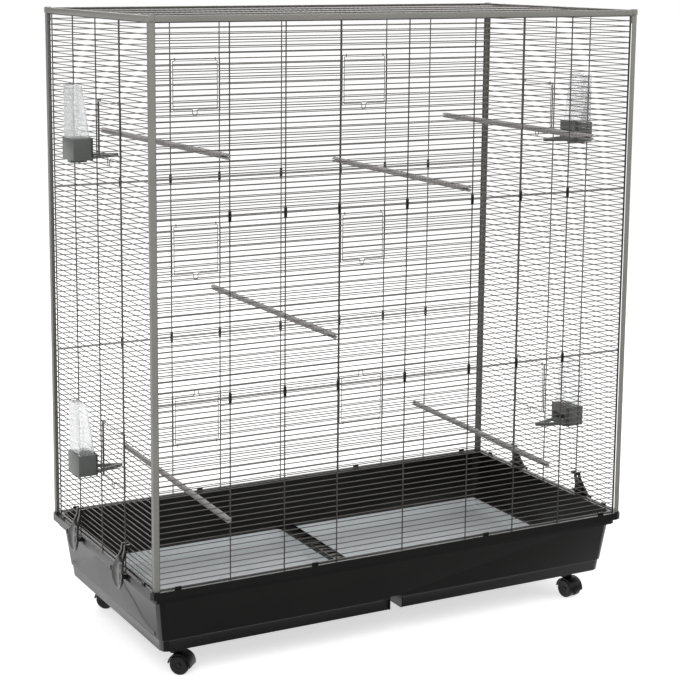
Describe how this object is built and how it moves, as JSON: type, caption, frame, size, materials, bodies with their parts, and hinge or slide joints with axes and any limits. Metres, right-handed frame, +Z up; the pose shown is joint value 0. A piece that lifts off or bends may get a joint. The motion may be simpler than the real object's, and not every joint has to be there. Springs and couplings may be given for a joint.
{
  "type": "bird cage",
  "caption": "Tall wire flight cage in an angle frame on a deep plastic base with castors, with flap doors, perches, seed feeders, lift-out floor trays and levers that clip the cage to its base.",
  "frame": {"origin": "on the floor under the middle of the cage", "axes": "+Z up, +X to the right along the long front wall, +Y from the front wall to the back wall with its six doors"},
  "size_m": [1.2346, 0.608, 1.3675],
  "materials": {
    "grey_paint": "satin grey powder coat on steel angle",
    "dark_wire": "dark grey semi-gloss powder coat on steel wire",
    "black_plastic": "moulded black polypropylene with a soft sheen",
    "pale_plastic": "pale grey moulded tray",
    "perch_plastic": "grey moulded perch",
    "trough_plastic": "grey moulded polypropylene",
    "smoked_plastic": "smoked translucent plastic",
    "clear_plastic": "clear polystyrene",
    "castor_plastic": "black nylon"
  },
  "bodies": {
    "cage": {"back_panel_lower": "dark_wire", "back_panel_middle": "dark_wire", "back_panel_upper": "dark_wire", "base_tray": "black_plastic", "corner_block_back_left": "grey_paint", "corner_block_back_right": "grey_paint", "corner_block_front_left": "grey_paint", "corner_block_front_right": "grey_paint", "feeder_trough_left_lower": "trough_plastic", "feeder_trough_left_upper": "trough_plastic", "feeder_trough_right_lower": "trough_plastic", "feeder_trough_right_upper": "trough_plastic", "front_panel_lower": "dark_wire", "front_panel_middle": "dark_wire", "front_panel_upper": "dark_wire", "left_panel": "dark_wire", "perch_lower_left": "perch_plastic", "perch_lower_right": "perch_plastic", "perch_middle": "perch_plastic", "perch_upper_left": "perch_plastic", "perch_upper_middle": "perch_plastic", "perch_upper_right": "perch_plastic", "post_back_left": "grey_paint", "post_back_right": "grey_paint", "post_front_left": "grey_paint", "post_front_right": "grey_paint", "right_panel": "dark_wire", "roof_panel": "dark_wire", "top_rail_back": "grey_paint", "top_rail_front": "grey_paint", "top_rail_left": "grey_paint", "top_rail_right": "grey_paint"},
    "back_door_left_lower": {"back_door_left_lower": "dark_wire"},
    "back_door_left_middle": {"back_door_left_middle": "dark_wire"},
    "back_door_left_upper": {"back_door_left_upper": "dark_wire"},
    "back_door_right_lower": {"back_door_right_lower": "dark_wire"},
    "back_door_right_middle": {"back_door_right_middle": "dark_wire"},
    "back_door_right_upper": {"back_door_right_upper": "dark_wire"},
    "base_lever_left_back": {"base_lever_left_back": "smoked_plastic"},
    "base_lever_left_front": {"base_lever_left_front": "smoked_plastic"},
    "base_lever_right_back": {"base_lever_right_back": "smoked_plastic"},
    "base_lever_right_front": {"base_lever_right_front": "smoked_plastic"},
    "castor_back_left": {"castor_housing_back_left": "castor_plastic"},
    "castor_wheels_back_left": {"castor_wheels_back_left": "castor_plastic"},
    "castor_back_right": {"castor_housing_back_right": "castor_plastic"},
    "castor_wheels_back_right": {"castor_wheels_back_right": "castor_plastic"},
    "castor_front_left": {"castor_housing_front_left": "castor_plastic"},
    "castor_wheels_front_left": {"castor_wheels_front_left": "castor_plastic"},
    "castor_front_right": {"castor_housing_front_right": "castor_plastic"},
    "castor_wheels_front_right": {"castor_wheels_front_right": "castor_plastic"},
    "feeder_silo_left_lower": {"feeder_silo_left_lower": "clear_plastic"},
    "feeder_silo_left_upper": {"feeder_silo_left_upper": "clear_plastic"},
    "feeder_silo_right_lower": {"feeder_silo_right_lower": "clear_plastic"},
    "feeder_silo_right_upper": {"feeder_silo_right_upper": "clear_plastic"},
    "floor_tray_left": {"floor_tray_left": "pale_plastic"},
    "floor_tray_right": {"floor_tray_right": "pale_plastic"},
    "left_door_lower": {"left_door_lower": "dark_wire"},
    "left_door_upper": {"left_door_upper": "dark_wire"},
    "right_door_lower": {"right_door_lower": "dark_wire"},
    "right_door_upper": {"right_door_upper": "dark_wire"}
  },
  "joints": [
    {"name": "back_door_left_lower_hinge", "type": "hinge", "parent": "cage", "child": "back_door_left_lower", "pos_m": [-0.22425, 0.288, 0.334], "axis": [-1, 0, 0], "range_deg": [0, 110]},
    {"name": "back_door_left_middle_hinge", "type": "hinge", "parent": "cage", "child": "back_door_left_middle", "pos_m": [-0.22425, 0.288, 0.862], "axis": [1, 0, 0], "range_deg": [0, 110]},
    {"name": "back_door_left_upper_hinge", "type": "hinge", "parent": "cage", "child": "back_door_left_upper", "pos_m": [-0.22425, 0.288, 1.246], "axis": [1, 0, 0], "range_deg": [0, 110]},
    {"name": "back_door_right_lower_hinge", "type": "hinge", "parent": "cage", "child": "back_door_right_lower", "pos_m": [0.22425, 0.288, 0.334], "axis": [-1, 0, 0], "range_deg": [0, 110]},
    {"name": "back_door_right_middle_hinge", "type": "hinge", "parent": "cage", "child": "back_door_right_middle", "pos_m": [0.22425, 0.288, 0.862], "axis": [1, 0, 0], "range_deg": [0, 110]},
    {"name": "back_door_right_upper_hinge", "type": "hinge", "parent": "cage", "child": "back_door_right_upper", "pos_m": [0.22425, 0.288, 1.246], "axis": [1, 0, 0], "range_deg": [0, 110]},
    {"name": "base_lever_left_back_pivot", "type": "hinge", "parent": "cage", "child": "base_lever_left_back", "pos_m": [-0.597, 0.132, 0.208], "axis": [0, -1, 0], "range_deg": [0, 28]},
    {"name": "base_lever_left_front_pivot", "type": "hinge", "parent": "cage", "child": "base_lever_left_front", "pos_m": [-0.597, -0.132, 0.208], "axis": [0, -1, 0], "range_deg": [0, 28]},
    {"name": "base_lever_right_back_pivot", "type": "hinge", "parent": "cage", "child": "base_lever_right_back", "pos_m": [0.597, 0.132, 0.208], "axis": [0, 1, 0], "range_deg": [0, 28]},
    {"name": "base_lever_right_front_pivot", "type": "hinge", "parent": "cage", "child": "base_lever_right_front", "pos_m": [0.597, -0.132, 0.208], "axis": [0, 1, 0], "range_deg": [0, 28]},
    {"name": "castor_back_left_swivel", "type": "hinge", "parent": "cage", "child": "castor_back_left", "pos_m": [-0.499, 0.211, 0.07], "axis": [0, 0, 1], "continuous": true},
    {"name": "castor_back_left_roll", "type": "hinge", "parent": "castor_back_left", "child": "castor_wheels_back_left", "pos_m": [-0.49066, 0.20237, 0.021], "axis": [-0.7193, -0.6947, 0], "continuous": true},
    {"name": "castor_back_right_swivel", "type": "hinge", "parent": "cage", "child": "castor_back_right", "pos_m": [0.499, 0.211, 0.07], "axis": [0, 0, 1], "continuous": true},
    {"name": "castor_back_right_roll", "type": "hinge", "parent": "castor_back_right", "child": "castor_wheels_back_right", "pos_m": [0.50108, 0.19918, 0.021], "axis": [-0.9848, -0.1736, 0], "continuous": true},
    {"name": "castor_front_left_swivel", "type": "hinge", "parent": "cage", "child": "castor_front_left", "pos_m": [-0.499, -0.211, 0.07], "axis": [0, 0, 1], "continuous": true},
    {"name": "castor_front_left_roll", "type": "hinge", "parent": "castor_front_left", "child": "castor_wheels_front_left", "pos_m": [-0.49066, -0.21963, 0.021], "axis": [-0.7193, -0.6947, 0], "continuous": true},
    {"name": "castor_front_right_swivel", "type": "hinge", "parent": "cage", "child": "castor_front_right", "pos_m": [0.499, -0.211, 0.07], "axis": [0, 0, 1], "continuous": true},
    {"name": "castor_front_right_roll", "type": "hinge", "parent": "castor_front_right", "child": "castor_wheels_front_right", "pos_m": [0.50108, -0.22282, 0.021], "axis": [-0.9848, -0.1736, 0], "continuous": true},
    {"name": "feeder_silo_left_lower_lift", "type": "slide", "parent": "cage", "child": "feeder_silo_left_lower", "axis": [0, 0, 1], "range_m": [0, 0.1]},
    {"name": "feeder_silo_left_upper_lift", "type": "slide", "parent": "cage", "child": "feeder_silo_left_upper", "axis": [0, 0, 1], "range_m": [0, 0.1]},
    {"name": "feeder_silo_right_lower_lift", "type": "slide", "parent": "cage", "child": "feeder_silo_right_lower", "axis": [0, 0, 1], "range_m": [0, 0.1]},
    {"name": "feeder_silo_right_upper_lift", "type": "slide", "parent": "cage", "child": "feeder_silo_right_upper", "axis": [0, 0, 1], "range_m": [0, 0.1]},
    {"name": "floor_tray_left_lift", "type": "slide", "parent": "cage", "child": "floor_tray_left", "axis": [0, 0, 1], "range_m": [0, 0.1]},
    {"name": "floor_tray_right_lift", "type": "slide", "parent": "cage", "child": "floor_tray_right", "axis": [0, 0, 1], "range_m": [0, 0.1]},
    {"name": "left_door_lower_hinge", "type": "hinge", "parent": "cage", "child": "left_door_lower", "pos_m": [-0.576, -0.066, 0.502], "axis": [0, 1, 0], "range_deg": [0, 110]},
    {"name": "left_door_upper_hinge", "type": "hinge", "parent": "cage", "child": "left_door_upper", "pos_m": [-0.576, -0.066, 1.186], "axis": [0, 1, 0], "range_deg": [0, 110]},
    {"name": "right_door_lower_hinge", "type": "hinge", "parent": "cage", "child": "right_door_lower", "pos_m": [0.576, 0.066, 0.502], "axis": [0, -1, 0], "range_deg": [0, 110]},
    {"name": "right_door_upper_hinge", "type": "hinge", "parent": "cage", "child": "right_door_upper", "pos_m": [0.576, 0.066, 1.186], "axis": [0, -1, 0], "range_deg": [0, 110]}
  ]
}
